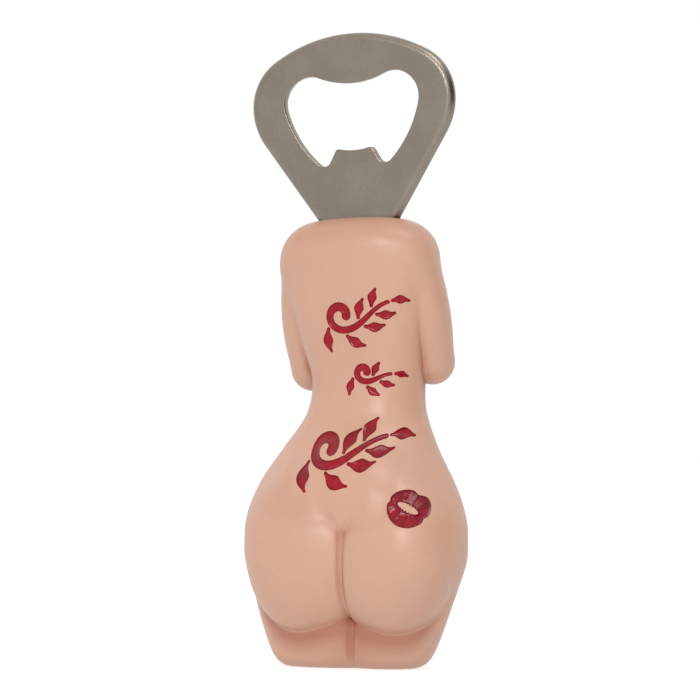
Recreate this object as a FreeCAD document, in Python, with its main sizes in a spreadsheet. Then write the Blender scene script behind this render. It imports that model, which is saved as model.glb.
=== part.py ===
import FreeCAD, Part
import os
from math import acos, atan2, cos, degrees, hypot, pi, radians, sin, tan

import Sketcher
from FreeCAD import Placement, Rotation, Vector

# Souvenir bottle opener: a stamped steel opener plate bonded into a cast resin figure handle.
# Frame: +Z runs from the standing base up to the opener's crown, the decorated side faces -Y,
# +X is to the right of someone looking at the decorated side. The origin is the centre of the
# bounding box's underside. Millimetres throughout.

DOC = FreeCAD.newDocument("BottleOpener")

# ---------------------------------------------------------------- driving dimensions

# Opener plate, measured in its own frame: across the plate, and up from the neck line.
PLATE_SIZES = {
    "plate_thickness": 2.0,
    "plate_roll_over": 1.5,
    "plate_edge_round": 0.35,
    "crown_height": 39.1,
    "wide_height": 24.5,
    "head_half_width": 22.7,
    "head_corner_radius": 11.5,
    "head_flank_radius": 13.7,
    "neck_half_width": 9.1,
    "tang_half_width": 7.6,
    "tang_step": 2.2,
    "tang_length": 25.0,
    "tang_corner_radius": 3.0,
    "key_hole_radius": 2.6,
    "key_hole_low": 18.5,
    "key_hole_high": 9.0,
    "mouth_lip_height": 28.6,
    "mouth_lobe_radius": 5.6,
    "mouth_lobe_offset": 9.4,
    "mouth_lobe_height": 25.0,
    "mouth_side_radius": 24.0,
    "mouth_corner_radius": 1.6,
    "mouth_corner_low": 11.5,
    "mouth_corner_offset": 6.9,
    "claw_height": 14.5,
    "claw_half_width": 3.95,
    "claw_hollow_radius": 14.0,
    "claw_corner_round": 0.9,
}

# Where the plate's neck line sits in the handle, and how far the upper body leans to -X.
SEAT_SIZES = {
    "neck_height": 93.2,
    "plate_depth": 5.2,
    "lean_angle": 3.5,
    "lean_height": 50.0,
    "slot_gap": 0.35,
    "slot_floor_gap": 1.2,
    "slot_mouth_drop": 1.8,
}

# The figure's body as level ellipses: height, half width, half depth, and centre along Y and X.
STATIONS = {
    "foot": (0.0, 17.2, 9.0, -2.3, -1.2),
    "thigh": (6.0, 19.2, 9.0, -2.1, -1.2),
    "thigh_top": (12.0, 21.3, 8.8, -1.7, -1.2),
    "hip_low": (18.0, 23.1, 8.8, -1.3, -1.0),
    "hip": (25.0, 23.9, 9.6, -1.0, -0.8),
    "sacrum": (32.5, 23.3, 10.4, -0.9, -0.9),
    "loin": (39.5, 20.6, 10.3, 0.3, -1.1),
    "flank": (46.0, 16.7, 9.3, 2.2, -1.2),
    "waist": (53.0, 13.0, 8.6, 4.0, -0.5),
    "ribs": (60.0, 12.4, 8.3, 4.9, 0.2),
    "chest": (69.0, 14.0, 8.7, 5.2, -0.4),
    "blades": (78.0, 15.8, 8.9, 5.2, -0.6),
    "shoulder": (84.0, 16.2, 8.7, 5.0, -0.6),
}
STATION_FIELDS = ("height", "half_width", "half_depth", "centre", "shift")

BODY_SIZES = {
    "foot_round": 2.8,
    "dome_rise": 9.6,
    "dome_fullness": 0.6,
    "seat_offset": 10.6,
    "seat_depth": -6.0,
    "seat_height": 22.1,
    "seat_half_width": 12.0,
    "seat_half_depth": 11.0,
    "seat_half_height": 15.2,
    "seat_tilt": 14.0,
    "pad_offset": 0.6,
    "pad_depth": -3.0,
    "pad_height": 32.5,
    "pad_half_width": 13.0,
    "pad_half_depth": 11.7,
    "pad_half_height": 15.5,
    "arm_shift": -0.6,
    "limb_share": 0.97,
    "thigh_groove_radius": 1.4,
    "thigh_groove_offset": 0.9,
    "thigh_groove_rear": -11.8,
    "thigh_groove_front": 7.6,
    "thigh_groove_top": 13.0,
}

# Each arm as a chain of round joints: offset from the middle, depth, height and radius.
ARM_JOINTS = {
    "shoulder_ball": (12.2, 5.6, 83.0, 5.0),
    "elbow": (13.4, 9.6, 62.6, 4.5),
    "wrist": (-2.5, 15.6, 70.5, 3.2),
    "hand": (-9.0, 13.8, 73.5, 3.0),
}
JOINT_FIELDS = ("offset", "depth", "lift", "radius")

# Painted ornament: depth of the engraved recess, how far the enamel stays below the surface,
# and where the cutting prisms start inside the body and end behind it.
ENAMEL_SIZES = {
    "recess_depth": 0.6,
    "enamel_top_drop": 0.25,
    "engraver_inner": 1.0,
    "engraver_outer": -22.0,
    "leaf_gap": 0.65,
    "leaf_spread": 50.0,
    "kiss_offset": 15.2,
    "kiss_height": 33.5,
    "kiss_half_width": 4.25,
    "kiss_upper_rise": 3.55,
    "kiss_lower_drop": 3.8,
    "kiss_slit_half_width": 2.4,
    "kiss_slit_half_height": 0.75,
    "kiss_tilt": -28.0,
}

# Each leafy scroll: centre offset and height, stem length, bend at the curl and at the tip
# (degrees per millimetre), heading of the curl's start, stem width, leaf length and leaf width.
SCROLL_FIELDS = ("offset", "lift", "stem_length", "curl_bend", "tip_bend", "heading",
                 "stem_width", "leaf_length", "leaf_width")
SCROLLS = {
    "upper_scroll": (1.6, 72.0, 22.0, 38.0, -11.0, -280.0, 1.15, 4.6, 2.1),
    "middle_scroll": (4.0, 59.8, 11.6, 66.0, -18.0, -275.0, 0.95, 3.1, 1.6),
    "lower_scroll": (1.3, 44.2, 25.5, 33.0, -9.0, -290.0, 1.6, 6.2, 3.0),
}

# How far along its stem each leaf sprouts, on the outer and the inner side of the curl.
LEAF_PLACES = {
    "upper_scroll": ((0.36, 0.52, 0.68, 0.84), (0.69, 0.86)),
    "middle_scroll": ((0.36, 0.58, 0.80), (0.72,)),
    "lower_scroll": ((0.36, 0.52, 0.68, 0.84), (0.69, 0.86)),
}

SHEET = DOC.addObject("Spreadsheet::Sheet", "Dims")
SIZES = {}
SHEET_ROW = [0]


def add_cells(values):
    """Write each named size into the sheet and give its cell that name as an alias."""
    for name, value in values.items():
        SHEET_ROW[0] += 1
        SHEET.set(f"A{SHEET_ROW[0]}", name)
        SHEET.set(f"B{SHEET_ROW[0]}", str(value))
        SHEET.setAlias(f"B{SHEET_ROW[0]}", name)
        SIZES[name] = float(value)


add_cells(PLATE_SIZES)
add_cells(SEAT_SIZES)
for station, numbers in STATIONS.items():
    add_cells({f"{station}_{field}": n for field, n in zip(STATION_FIELDS, numbers)})
add_cells(BODY_SIZES)
for joint, numbers in ARM_JOINTS.items():
    add_cells({f"{joint}_{field}": n for field, n in zip(JOINT_FIELDS, numbers)})
add_cells(ENAMEL_SIZES)
for scroll, numbers in SCROLLS.items():
    add_cells({f"{scroll}_{field}": n for field, n in zip(SCROLL_FIELDS, numbers)})
DOC.recompute()


def bind(obj, **expressions):
    """Bind properties to sheet expressions; double underscores stand for the dots of a path."""
    for path, expression in expressions.items():
        obj.setExpression(path.replace("__", "."), expression)


# ---------------------------------------------------------------- sketch helpers

def arc(centre, radius, start, end):
    """Sketch arc running counterclockwise between two angles in degrees."""
    circle = Part.Circle(Vector(centre[0], centre[1], 0), Vector(0, 0, 1), radius)
    return Part.ArcOfCircle(circle, radians(start), radians(end))


def line(a, b):
    return Part.LineSegment(Vector(a[0], a[1], 0), Vector(b[0], b[1], 0))


def angle_to(centre, point):
    return degrees(atan2(point[1] - centre[1], point[0] - centre[0]))


def touching_centre(a, reach_a, b, reach_b):
    """The point at the given distances from a and b, on the left of the way from b to a."""
    gap = hypot(a[0] - b[0], a[1] - b[1])
    along = (reach_a ** 2 - reach_b ** 2 + gap ** 2) / (2 * gap)
    across = (reach_a ** 2 - along ** 2) ** 0.5
    ux, uy = (b[0] - a[0]) / gap, (b[1] - a[1]) / gap
    return a[0] + along * ux + across * uy, a[1] + along * uy - across * ux


def new_sketch(body, name, role):
    """A sketch on one of the body's own origin planes."""
    sketch = body.newObject("Sketcher::SketchObject", name)
    plane = next(f for f in body.Origin.OriginFeatures if f.Role == role)
    sketch.AttachmentSupport = [(plane, "")]
    sketch.MapMode = "FlatFace"
    return sketch


def constrain(sketch, kind, *args, size=None):
    """Add a constraint, bound to a sheet expression when size is given."""
    index = sketch.addConstraint(Sketcher.Constraint(kind, *args))
    if size:
        sketch.setExpression(f"Constraints[{index}]", size)
    return index


START, END, CENTRE = 1, 2, 3
ORIGIN = (-1, 1)
VERTICAL_AXIS = -2


# ---------------------------------------------------------------- opener plate

def plate_outline(body):
    """Right half of the plate's outline: crown, corner, flank, neck and tang."""
    s = SIZES
    sketch = new_sketch(body, "HalfOutline", "XZ_Plane")
    corner = (s["head_half_width"] - s["head_corner_radius"], s["wide_height"])
    rise = s["crown_height"] - s["wide_height"]
    crown_radius = (corner[0] ** 2 + rise ** 2 - s["head_corner_radius"] ** 2) / (
        2 * (rise - s["head_corner_radius"]))
    crown = (0, s["crown_height"] - crown_radius)
    crown_end = angle_to(crown, corner)
    # The flank arc starts upright at the widest point and leans over to run down to the neck.
    flank_radius = s["head_flank_radius"]
    flank = (s["head_half_width"] - flank_radius, s["wide_height"])
    neck = (s["neck_half_width"], 0)
    reach = hypot(flank[0] - neck[0], flank[1] - neck[1])
    flank_end = angle_to(flank, neck) + degrees(acos(flank_radius / reach))
    flank_foot = (flank[0] + flank_radius * cos(radians(flank_end)),
                  flank[1] + flank_radius * sin(radians(flank_end)))
    step = (s["tang_half_width"], -s["tang_step"])
    foot = (s["tang_half_width"], -s["tang_length"] + s["tang_corner_radius"])
    toe_centre = (s["tang_half_width"] - s["tang_corner_radius"], foot[1])
    toe = (toe_centre[0], -s["tang_length"])

    g = {}
    g["crown"] = sketch.addGeometry(arc(crown, crown_radius, crown_end, 90))
    g["corner"] = sketch.addGeometry(arc(corner, s["head_corner_radius"], 0, crown_end))
    g["flank"] = sketch.addGeometry(arc(flank, flank_radius, flank_end, 0))
    g["side"] = sketch.addGeometry(line(flank_foot, neck))
    g["neck"] = sketch.addGeometry(line(neck, step))
    g["tang"] = sketch.addGeometry(line(step, foot))
    g["toe"] = sketch.addGeometry(arc(toe_centre, s["tang_corner_radius"], -90, 0))
    g["end"] = sketch.addGeometry(line(toe, (0, -s["tang_length"])))
    g["axis"] = sketch.addGeometry(line((0, -s["tang_length"]), (0, s["crown_height"])))

    constrain(sketch, "Tangent", g["crown"], START, g["corner"], END)
    constrain(sketch, "Tangent", g["corner"], START, g["flank"], END)
    constrain(sketch, "Tangent", g["flank"], START, g["side"], START)
    constrain(sketch, "Coincident", g["side"], END, g["neck"], START)
    constrain(sketch, "Coincident", g["neck"], END, g["tang"], START)
    constrain(sketch, "Tangent", g["tang"], END, g["toe"], END)
    constrain(sketch, "Tangent", g["toe"], START, g["end"], START)
    constrain(sketch, "Coincident", g["end"], END, g["axis"], START)
    constrain(sketch, "Coincident", g["axis"], END, g["crown"], END)
    constrain(sketch, "PointOnObject", g["crown"], CENTRE, VERTICAL_AXIS)
    constrain(sketch, "PointOnObject", g["axis"], START, VERTICAL_AXIS)
    constrain(sketch, "PointOnObject", g["axis"], END, VERTICAL_AXIS)
    constrain(sketch, "Horizontal", g["end"])
    constrain(sketch, "Vertical", g["tang"])
    constrain(sketch, "DistanceY", *ORIGIN, g["axis"], END, s["crown_height"],
              size="Dims.crown_height")
    constrain(sketch, "DistanceY", g["axis"], START, *ORIGIN, s["tang_length"],
              size="Dims.tang_length")
    constrain(sketch, "Radius", g["corner"], s["head_corner_radius"],
              size="Dims.head_corner_radius")
    constrain(sketch, "DistanceY", *ORIGIN, g["corner"], CENTRE, s["wide_height"],
              size="Dims.wide_height")
    constrain(sketch, "DistanceX", *ORIGIN, g["corner"], CENTRE, corner[0],
              size="Dims.head_half_width - Dims.head_corner_radius")
    constrain(sketch, "DistanceY", *ORIGIN, g["flank"], CENTRE, s["wide_height"],
              size="Dims.wide_height")
    constrain(sketch, "Radius", g["flank"], flank_radius, size="Dims.head_flank_radius")
    constrain(sketch, "DistanceX", *ORIGIN, g["neck"], START, s["neck_half_width"],
              size="Dims.neck_half_width")
    constrain(sketch, "PointOnObject", g["neck"], START, -1)
    constrain(sketch, "DistanceX", *ORIGIN, g["tang"], START, s["tang_half_width"],
              size="Dims.tang_half_width")
    constrain(sketch, "DistanceY", g["tang"], START, *ORIGIN, s["tang_step"],
              size="Dims.tang_step")
    constrain(sketch, "Radius", g["toe"], s["tang_corner_radius"],
              size="Dims.tang_corner_radius")
    return sketch


def mouth_outline(body):
    """Right half of the mouth: lip, lobe, side, lower corner and the claw."""
    s = SIZES
    sketch = new_sketch(body, "HalfMouth", "XZ_Plane")
    lobe = (s["mouth_lobe_offset"], s["mouth_lobe_height"])
    lobe_r = s["mouth_lobe_radius"]
    # The lip curves down into the mouth and meets the lobe where the two arcs are tangent.
    lip_gap = s["mouth_lip_height"] - lobe[1]
    lip_r = (lobe[0] ** 2 + lip_gap ** 2 - lobe_r ** 2) / (2 * (lobe_r - lip_gap))
    lip = (0, s["mouth_lip_height"] + lip_r)
    lip_end = angle_to(lip, lobe)
    # The side arc touches the lobe from inside and the lower corner arc from outside.
    side_r = s["mouth_side_radius"]
    corner_r = s["mouth_corner_radius"]
    corner = (s["mouth_corner_offset"], s["mouth_corner_low"] + corner_r)
    side = touching_centre(lobe, side_r - lobe_r, corner, side_r - corner_r)
    side_top = angle_to(side, lobe)
    side_low = angle_to(side, corner)
    hollow = (0, s["claw_height"] + s["claw_hollow_radius"])
    claw_drop = s["claw_hollow_radius"] ** 2 - s["claw_half_width"] ** 2
    claw_tip = (s["claw_half_width"], hollow[1] - claw_drop ** 0.5)
    claw_reach = hypot(corner[0] - claw_tip[0], corner[1] - claw_tip[1])
    touch_angle = angle_to(corner, claw_tip) + degrees(acos(corner_r / claw_reach))
    corner_touch = (corner[0] + corner_r * cos(radians(touch_angle)),
                    corner[1] + corner_r * sin(radians(touch_angle)))

    g = {}
    g["lip"] = sketch.addGeometry(arc(lip, lip_r, -90, lip_end))
    g["lobe"] = sketch.addGeometry(arc(lobe, lobe_r, side_top, lip_end + 180))
    g["side"] = sketch.addGeometry(arc(side, side_r, side_low, side_top))
    g["corner"] = sketch.addGeometry(arc(corner, corner_r, touch_angle, side_low + 360))
    g["flank"] = sketch.addGeometry(line(corner_touch, claw_tip))
    g["hollow"] = sketch.addGeometry(arc(hollow, s["claw_hollow_radius"], -90,
                                         angle_to(hollow, claw_tip)))
    g["axis"] = sketch.addGeometry(line((0, s["claw_height"]), (0, s["mouth_lip_height"])))

    constrain(sketch, "Tangent", g["lip"], END, g["lobe"], END)
    constrain(sketch, "Tangent", g["lobe"], START, g["side"], END)
    constrain(sketch, "Tangent", g["side"], START, g["corner"], END)
    constrain(sketch, "Tangent", g["corner"], START, g["flank"], START)
    constrain(sketch, "Coincident", g["flank"], END, g["hollow"], END)
    constrain(sketch, "Coincident", g["hollow"], START, g["axis"], START)
    constrain(sketch, "Coincident", g["axis"], END, g["lip"], START)
    constrain(sketch, "PointOnObject", g["lip"], CENTRE, VERTICAL_AXIS)
    constrain(sketch, "PointOnObject", g["hollow"], CENTRE, VERTICAL_AXIS)
    constrain(sketch, "PointOnObject", g["axis"], START, VERTICAL_AXIS)
    constrain(sketch, "PointOnObject", g["axis"], END, VERTICAL_AXIS)
    constrain(sketch, "DistanceY", *ORIGIN, g["axis"], END, s["mouth_lip_height"],
              size="Dims.mouth_lip_height")
    constrain(sketch, "DistanceY", *ORIGIN, g["axis"], START, s["claw_height"],
              size="Dims.claw_height")
    constrain(sketch, "Radius", g["lobe"], lobe_r, size="Dims.mouth_lobe_radius")
    constrain(sketch, "DistanceX", *ORIGIN, g["lobe"], CENTRE, lobe[0],
              size="Dims.mouth_lobe_offset")
    constrain(sketch, "DistanceY", *ORIGIN, g["lobe"], CENTRE, lobe[1],
              size="Dims.mouth_lobe_height")
    constrain(sketch, "Radius", g["side"], side_r, size="Dims.mouth_side_radius")
    constrain(sketch, "Radius", g["corner"], corner_r, size="Dims.mouth_corner_radius")
    constrain(sketch, "DistanceY", *ORIGIN, g["corner"], CENTRE, corner[1],
              size="Dims.mouth_corner_low + Dims.mouth_corner_radius")
    constrain(sketch, "Radius", g["hollow"], s["claw_hollow_radius"],
              size="Dims.claw_hollow_radius")
    constrain(sketch, "DistanceX", *ORIGIN, g["flank"], END, s["claw_half_width"],
              size="Dims.claw_half_width")
    constrain(sketch, "DistanceX", *ORIGIN, g["corner"], CENTRE, corner[0],
              size="Dims.mouth_corner_offset")
    return sketch


def lean_placement(x="0", y="0", z="0"):
    """Placement expressions for something that leans with the upper body at a given height."""
    slide = f"-({z} - Dims.lean_height) * tan(Dims.lean_angle * 1deg)"
    return {
        "Placement__Base__x": f"{x} + {slide}",
        "Placement__Base__y": y,
        "Placement__Base__z": z,
    }


def plate_edges(shape, low):
    """Edges above a height in the plate's own frame: rolled over by the die, and the rest.

    The die rolls over the outer outline on the plate's -Y face. The outline on the other face and
    the mouth's edges are only deburred.
    """
    half = SIZES["plate_thickness"] / 2
    rolled, deburred = [], []
    for face in shape.Faces:
        box = face.BoundBox
        if box.YLength > 1e-6 or abs(abs(box.YMin) - half) > 1e-6:
            continue
        outer = face.OuterWire.Edges if box.YMin < 0 else []
        for edge in face.Edges:
            if edge.BoundBox.ZMin > low:
                name = next(i for i, e in enumerate(shape.Edges, 1) if e.isSame(edge))
                group = rolled if any(edge.isSame(e) for e in outer) else deburred
                group.append(f"Edge{name}")
    return rolled, deburred


def claw_corners(shape):
    """The two edges through the plate at the tips of the claw, in the plate's own frame."""
    names = []
    for i, edge in enumerate(shape.Edges, 1):
        box = edge.BoundBox
        at_tip = abs(abs(box.Center.x) - SIZES["claw_half_width"]) < 0.01
        if at_tip and box.XLength < 0.01 and box.ZLength < 0.01 and box.ZMin > 0:
            names.append(f"Edge{i}")
    return names


def make_opener_plate():
    body = DOC.addObject("PartDesign::Body", "OpenerPlate")
    body.Label = "opener_plate"
    outline = plate_outline(body)
    mouth = mouth_outline(body)
    DOC.recompute()

    pad = body.newObject("PartDesign::Pad", "HalfBlank")
    pad.Profile = outline
    pad.Midplane = True
    bind(pad, Length="Dims.plate_thickness")
    DOC.recompute()

    pocket = body.newObject("PartDesign::Pocket", "HalfMouthCut")
    pocket.Profile = mouth
    pocket.Midplane = True
    bind(pocket, Length="4 * Dims.plate_thickness")
    DOC.recompute()

    mirrored = body.newObject("PartDesign::Mirrored", "WholePlate")
    mirrored.Originals = [pad, pocket]
    plane = next(f for f in body.Origin.OriginFeatures if f.Role == "YZ_Plane")
    mirrored.MirrorPlane = (plane, [""])
    body.Tip = mirrored
    DOC.recompute()

    holes = new_sketch(body, "KeyHoles", "XZ_Plane")
    for name in ("key_hole_high", "key_hole_low"):
        depth = SIZES[name]
        index = holes.addGeometry(Part.Circle(Vector(0, -depth, 0), Vector(0, 0, 1),
                                              SIZES["key_hole_radius"]))
        constrain(holes, "PointOnObject", index, CENTRE, VERTICAL_AXIS)
        constrain(holes, "DistanceY", index, CENTRE, *ORIGIN, depth, size=f"Dims.{name}")
        constrain(holes, "Radius", index, SIZES["key_hole_radius"],
                  size="Dims.key_hole_radius")
    DOC.recompute()
    keys = body.newObject("PartDesign::Pocket", "KeyHoleCut")
    keys.Profile = holes
    keys.Midplane = True
    bind(keys, Length="4 * Dims.plate_thickness")
    DOC.recompute()

    claw = body.newObject("PartDesign::Fillet", "ClawRound")
    claw.Base = (keys, claw_corners(keys.Shape))
    bind(claw, Radius="Dims.claw_corner_round")
    DOC.recompute()
    roll_over = body.newObject("PartDesign::Fillet", "RollOver")
    roll_over.Base = (claw, plate_edges(claw.Shape, -0.5)[0])
    bind(roll_over, Radius="Dims.plate_roll_over")
    DOC.recompute()
    deburr = body.newObject("PartDesign::Fillet", "Deburr")
    deburr.Base = (roll_over, plate_edges(roll_over.Shape, -0.5)[1])
    bind(deburr, Radius="Dims.plate_edge_round")
    DOC.recompute()

    bind(body, **lean_placement(y="Dims.plate_depth", z="Dims.neck_height"))
    body.Placement = Placement(Vector(), Rotation(Vector(0, -1, 0), SIZES["lean_angle"]))
    bind(body, Placement__Rotation__Angle="Dims.lean_angle")
    DOC.recompute()
    return body


# ---------------------------------------------------------------- cast handle

def lean_shift(height):
    """Sideways shift of the upper body at a height; nothing leans below the lean height."""
    rise = max(height - SIZES["lean_height"], 0.0)
    return -rise * tan(radians(SIZES["lean_angle"]))


def lean_expression(height):
    return f"-max({height} - Dims.lean_height; 0) * tan(Dims.lean_angle * 1 deg)"


def make_station(name):
    """One level ellipse of the figure's body, bound to its four cells."""
    ring = DOC.addObject("Part::Ellipse", f"Station_{name}")
    bind(ring,
         MajorRadius=f"Dims.{name}_half_width",
         MinorRadius=f"Dims.{name}_half_depth",
         Placement__Base__x=f"Dims.{name}_shift + " + lean_expression(f"Dims.{name}_height"),
         Placement__Base__y=f"Dims.{name}_centre",
         Placement__Base__z=f"Dims.{name}_height")
    return ring


def make_dome_ring(index, turn):
    """A level ellipse of the rounded top; turn runs from 0 at the shoulders to 90 at the crown."""
    ring = DOC.addObject("Part::Ellipse", f"DomeRing{index}")
    shrink = f"cos({turn} deg)^Dims.dome_fullness"
    height = f"(Dims.shoulder_height + Dims.dome_rise * sin({turn} deg))"
    bind(ring,
         MajorRadius=f"Dims.shoulder_half_width * {shrink}",
         MinorRadius=f"Dims.shoulder_half_depth * {shrink}",
         Placement__Base__x=f"Dims.shoulder_shift + {lean_expression(height)}",
         Placement__Base__y="Dims.shoulder_centre",
         Placement__Base__z=height)
    return ring


DOME_TURNS = (24, 45, 64, 79, 87)


def make_torso():
    rings = [make_station(name) for name in STATIONS]
    rings += [make_dome_ring(i, turn) for i, turn in enumerate(DOME_TURNS, 1)]
    DOC.recompute()
    loft = DOC.addObject("Part::Loft", "TorsoLoft")
    loft.Sections = rings
    loft.Solid = True
    loft.Ruled = False
    DOC.recompute()
    rounded = DOC.addObject("Part::Fillet", "TorsoRounded")
    rounded.Base = loft
    sole = [i for i, edge in enumerate(loft.Shape.Edges, 1) if edge.BoundBox.ZMax < 1e-3]
    radius = SIZES["foot_round"]
    rounded.Edges = [(i, radius, radius) for i in sole]
    DOC.recompute()
    return rounded


def make_ellipsoid(name, kind):
    """Upright ellipsoid bound to a kind's radii and to the depth and height of its centre."""
    mass = DOC.addObject("Part::Ellipsoid", name)
    mass.Angle1, mass.Angle2, mass.Angle3 = -90, 90, 360
    bind(mass,
         Radius2=f"Dims.{kind}_half_width",
         Radius3=f"Dims.{kind}_half_depth",
         Radius1=f"Dims.{kind}_half_height",
         Placement__Base__y=f"Dims.{kind}_depth",
         Placement__Base__z=f"Dims.{kind}_height")
    return mass


def make_seats():
    """The two rounded seat halves, their tops leaning outwards, and the pad between their tops."""
    masses = []
    for side, name in ((-1, "SeatLeft"), (1, "SeatRight")):
        seat = make_ellipsoid(name, "seat")
        seat.Placement = Placement(Vector(), Rotation(Vector(0, side, 0), SIZES["seat_tilt"]))
        bind(seat,
             Placement__Rotation__Angle="Dims.seat_tilt",
             Placement__Base__x=f"{side} * Dims.seat_offset")
        masses.append(seat)
    pad = make_ellipsoid("SacralPad", "pad")
    bind(pad, Placement__Base__x="Dims.pad_offset")
    return masses + [pad]


def joint_point(joint, side):
    height = SIZES[f"{joint}_lift"]
    return Vector(side * SIZES[f"{joint}_offset"] + SIZES["arm_shift"] + lean_shift(height),
                  SIZES[f"{joint}_depth"], height)


def make_arm(side):
    """An arm folded across the chest: balls at the joints and tapered limbs between them.

    The limbs are slightly slimmer than the balls, because a limb exactly as wide as its ball only
    touches it along a circle, and a fusion can drop such a limb.
    """
    label = "Left" if side < 0 else "Right"
    solids = []
    for joint in ARM_JOINTS:
        ball = DOC.addObject("Part::Sphere", f"{label}{joint.title().replace('_', '')}")
        bind(ball, Radius=f"Dims.{joint}_radius")
        ball.Placement.Base = joint_point(joint, side)
        solids.append(ball)
    names = list(ARM_JOINTS)
    for upper, lower in zip(names, names[1:]):
        a, b = joint_point(upper, side), joint_point(lower, side)
        limb = DOC.addObject("Part::Cone", f"{label}{upper.title().replace('_', '')}Limb")
        bind(limb,
             Radius1=f"Dims.limb_share * Dims.{upper}_radius",
             Radius2=f"Dims.limb_share * Dims.{lower}_radius")
        limb.Height = (b - a).Length
        limb.Placement = Placement(a, Rotation(Vector(0, 0, 1), b - a))
        solids.append(limb)
    return solids


def make_blank():
    """The figure before any slot, groove or ornament is cut."""
    solids = [make_torso()] + make_seats() + make_arm(-1) + make_arm(1)
    DOC.recompute()
    blank = DOC.addObject("Part::MultiFuse", "CastingBlank")
    blank.Shapes = solids
    DOC.recompute()
    for solid in solids:
        lost = solid.Shape.cut(blank.Shape).Volume
        if lost > 0.01 * solid.Shape.Volume:
            raise RuntimeError(f"{solid.Name} is not wholly in the fused figure: {lost:.1f} mm3 lost")
    return blank


def make_slot_box(name, top):
    """A box around the tang, leaning with the plate; top is its upper end above the neck line."""
    box = DOC.addObject("Part::Box", name)
    half_width = "(Dims.neck_half_width + Dims.slot_gap)"
    depth = "(Dims.tang_length + Dims.slot_floor_gap)"
    neck_x = "-(Dims.neck_height - Dims.lean_height) * tan(Dims.lean_angle * 1 deg)"
    box.Placement = Placement(Vector(), Rotation(Vector(0, -1, 0), SIZES["lean_angle"]))
    bind(box,
         Length=f"2 * {half_width}",
         Width="Dims.plate_thickness + 2 * Dims.slot_gap",
         Height=f"{depth} + {top}",
         Placement__Rotation__Angle="Dims.lean_angle",
         Placement__Base__x=f"{neck_x} - {half_width} * cos(Dims.lean_angle * 1 deg)"
                            f" + {depth} * sin(Dims.lean_angle * 1 deg)",
         Placement__Base__y="Dims.plate_depth - Dims.plate_thickness / 2 - Dims.slot_gap",
         Placement__Base__z=f"Dims.neck_height - {half_width} * sin(Dims.lean_angle * 1 deg)"
                            f" - {depth} * cos(Dims.lean_angle * 1 deg)")
    DOC.recompute()
    return box


def make_thigh_groove(face):
    """The upright groove between the thighs, on the rear or the front face."""
    groove = DOC.addObject("Part::Cylinder", f"ThighGroove{face.title()}")
    bind(groove,
         Radius="Dims.thigh_groove_radius",
         Height="Dims.thigh_groove_top + 1",
         Placement__Base__x="Dims.thigh_groove_offset",
         Placement__Base__y=f"Dims.thigh_groove_{face}",
         Placement__Base__z="-1")
    return groove


# ---------------------------------------------------------------- ornament outlines

STEM_HEAD, STEM_BELLY, STEM_TAIL = 1.55, 1.15, 0.6
LEAF_HEAD, LEAF_TAIL = 0.6, 0.45
STEM_STEPS, LEAF_STEPS, WALK_STEPS = 22, 9, 64
CAP_TURNS = (45, 90, 135)


def walk(x, z, heading, length, bend_in, bend_out, steps):
    """Points along a curve whose bend changes evenly from one end to the other."""
    points = [(x, z, heading)]
    stride = length / steps
    for i in range(steps):
        bend = bend_in + (bend_out - bend_in) * (i + 0.5) / steps
        turned = heading + bend * stride
        middle = radians((heading + turned) / 2)
        x, z, heading = x + stride * cos(middle), z + stride * sin(middle), turned
        points.append((x, z, heading))
    return points


def swell(t, head, belly, tail):
    """Width of a stroke at t: head at 0, belly half way, tail at 1."""
    end = head if t < 0.5 else tail
    return end + (belly - end) * sin(t * pi) ** 2


def stroke_outline(points, head, belly, tail):
    """Closed loop of points round a stroke, with rounded ends."""
    last = len(points) - 1
    left, right = [], []
    for i, (x, z, heading) in enumerate(points):
        half = swell(i / last, head, belly, tail) / 2
        nx, nz = -sin(radians(heading)) * half, cos(radians(heading)) * half
        left.append((x + nx, z + nz))
        right.append((x - nx, z - nz))
    tip, root = [], []
    for turn in CAP_TURNS:
        x, z, heading = points[-1]
        angle = radians(heading - 90 + turn)
        tip.append((x + tail / 2 * cos(angle), z + tail / 2 * sin(angle)))
        x, z, heading = points[0]
        angle = radians(heading + 90 + turn)
        root.append((x + head / 2 * cos(angle), z + head / 2 * sin(angle)))
    return right + tip + left[::-1] + root


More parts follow.
